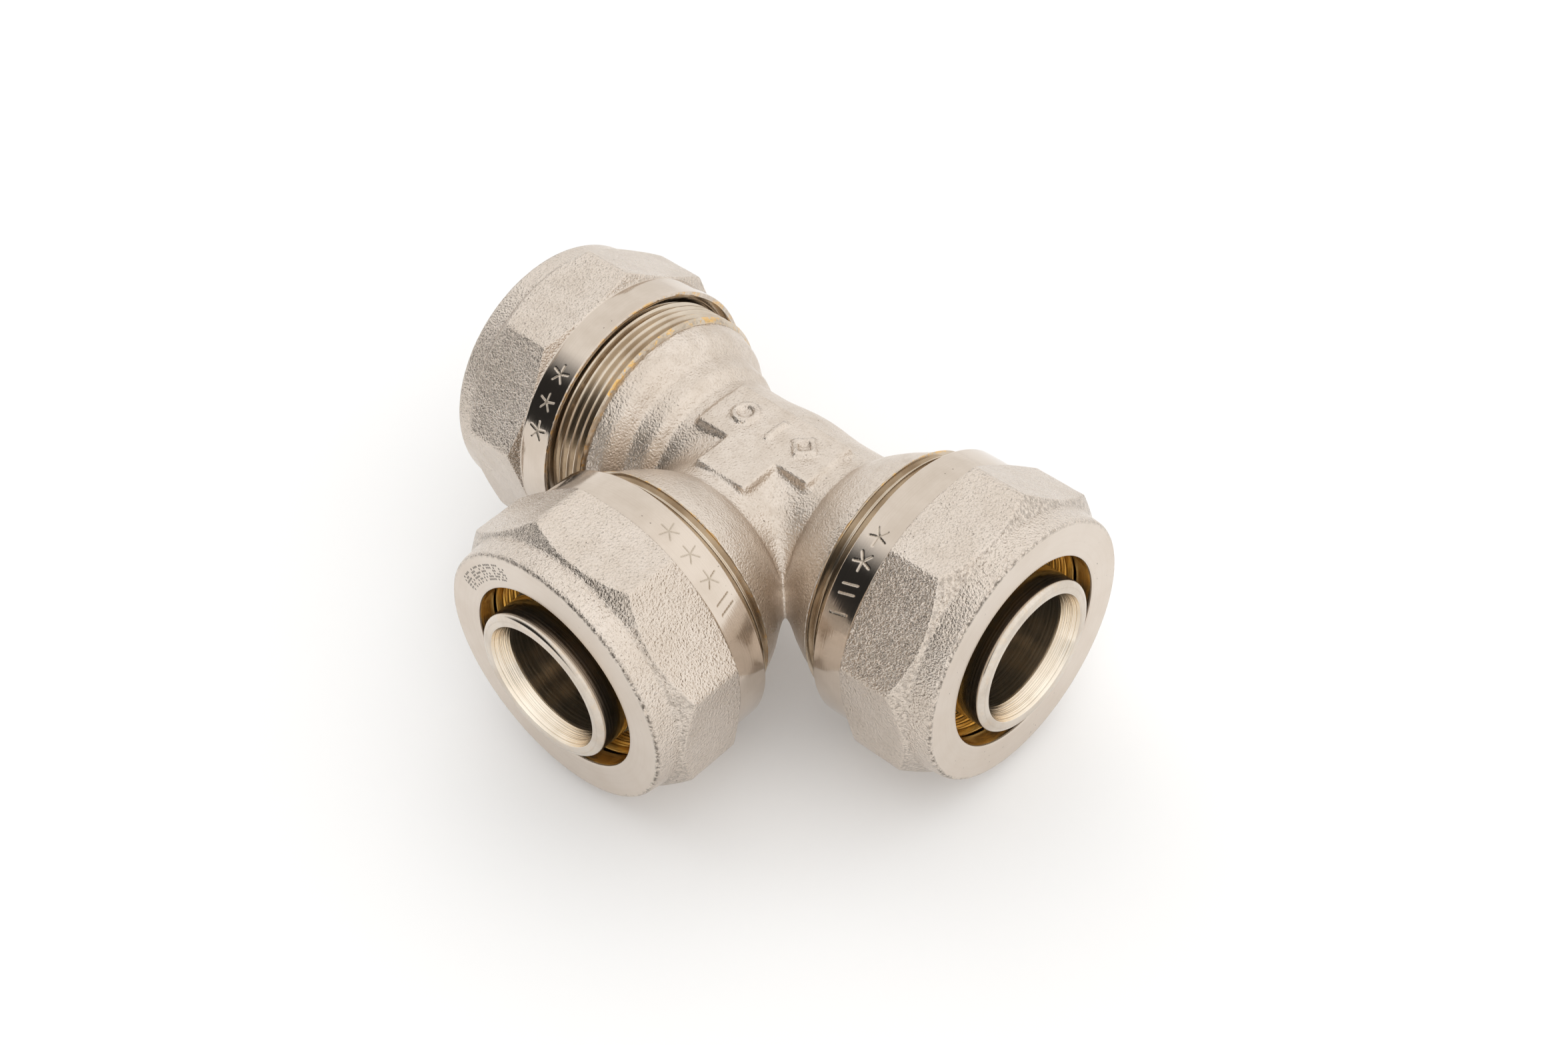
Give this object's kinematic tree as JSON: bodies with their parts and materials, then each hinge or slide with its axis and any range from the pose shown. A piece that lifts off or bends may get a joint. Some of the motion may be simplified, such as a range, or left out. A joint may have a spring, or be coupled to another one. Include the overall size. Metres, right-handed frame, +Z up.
{
  "type": "compression tee fitting",
  "caption": "Nickel-plated brass equal tee with screw-compression ports for multilayer pipe: threaded body with nipples, octagonal nuts, split rings, O-rings and insulating washers.",
  "frame": {"origin": "centre of the underside of the overall box; the port axes meet 24.6451 mm above it and 13.8275 mm to +Y", "axes": "+X along the straight run towards the right-hand port, the branch port points to -Y, +Z is up"},
  "size_m": [0.1046, 0.077, 0.0493],
  "materials": {
    "plated_body": "nickel-plated, blasted forging with turned threads",
    "plated_nut": "nickel-plated, blasted facets and turned collars",
    "ring_brass": "bare turned brass",
    "seal_rubber": "slightly glossy black EPDM",
    "washer_plastic": "white PTFE"
  },
  "bodies": {
    "root": {"tee_body": "plated_body", "o_ring_outer_left": "seal_rubber", "o_ring_inner_left": "seal_rubber", "o_ring_outer_right": "seal_rubber", "o_ring_inner_right": "seal_rubber", "o_ring_outer_branch": "seal_rubber", "o_ring_inner_branch": "seal_rubber", "insulating_washer_left": "washer_plastic", "insulating_washer_right": "washer_plastic", "insulating_washer_branch": "washer_plastic"},
    "ring_left": {"split_ring_left": "ring_brass"},
    "nut_left": {"nut_left": "plated_nut"},
    "ring_right": {"split_ring_right": "ring_brass"},
    "nut_right": {"nut_right": "plated_nut"},
    "ring_branch": {"split_ring_branch": "ring_brass"},
    "nut_branch": {"nut_branch": "plated_nut"}
  },
  "joints": [
    {"name": "feed_left", "type": "slide", "parent": "root", "child": "ring_left", "axis": [-1, 0, 0], "range_m": [-0.0039, 0.005]},
    {"name": "nut_left_spin", "type": "hinge", "parent": "ring_left", "child": "nut_left", "pos_m": [-0.04, 0.01383, 0.02465], "axis": [-1, 0, 0], "range_deg": [-936, 1200]},
    {"name": "feed_right", "type": "slide", "parent": "root", "child": "ring_right", "axis": [1, 0, 0], "range_m": [-0.0021, 0.00675]},
    {"name": "nut_right_spin", "type": "hinge", "parent": "ring_right", "child": "nut_right", "pos_m": [0.04, 0.01383, 0.02465], "axis": [1, 0, 0], "range_deg": [-504, 1620]},
    {"name": "feed_branch", "type": "slide", "parent": "root", "child": "ring_branch", "axis": [0, -1, 0], "range_m": [-0.0015, 0.0075]},
    {"name": "nut_branch_spin", "type": "hinge", "parent": "ring_branch", "child": "nut_branch", "pos_m": [0, -0.02617, 0.02465], "axis": [0, -1, 0], "range_deg": [-360, 1800]}
  ],
  "couplings": [
    {"joint": "feed_left", "follows": "nut_left_spin", "m_per_rad": 0.00023873},
    {"joint": "feed_right", "follows": "nut_right_spin", "m_per_rad": 0.00023873},
    {"joint": "feed_branch", "follows": "nut_branch_spin", "m_per_rad": 0.00023873}
  ]
}
